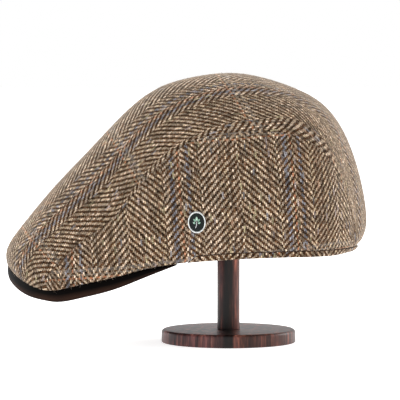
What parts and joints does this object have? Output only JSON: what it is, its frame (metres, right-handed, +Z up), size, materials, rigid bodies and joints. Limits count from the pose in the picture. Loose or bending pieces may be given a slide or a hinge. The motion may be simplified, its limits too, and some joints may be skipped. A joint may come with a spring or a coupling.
{
  "type": "flat cap on a stand",
  "caption": "Herringbone tweed flat cap with a leather peak and a small oval badge, held up on a plain round wooden stand.",
  "frame": {"origin": "middle of the stand's underside, on the post's axis", "axes": "+X towards the back of the cap, so the peak points along -X; -Y the wearer's left, the side with the badge; +Z up"},
  "size_m": [0.279, 0.2013, 0.208],
  "materials": {
    "tweed": "brown and cream herringbone wool",
    "leather": "dark brown, soft sheen",
    "badge_metal": "polished",
    "enamel": "dark green, glossy",
    "stained_wood": "dark stain, satin"
  },
  "bodies": {
    "root": {"centre_panel": "tweed", "side_panel_left": "tweed", "side_panel_right": "tweed", "hem_band": "tweed", "peak": "leather", "badge_rim": "badge_metal", "badge_face": "enamel", "stand_top": "stained_wood", "stand_post": "stained_wood", "stand_base": "stained_wood"}
  },
  "joints": []
}
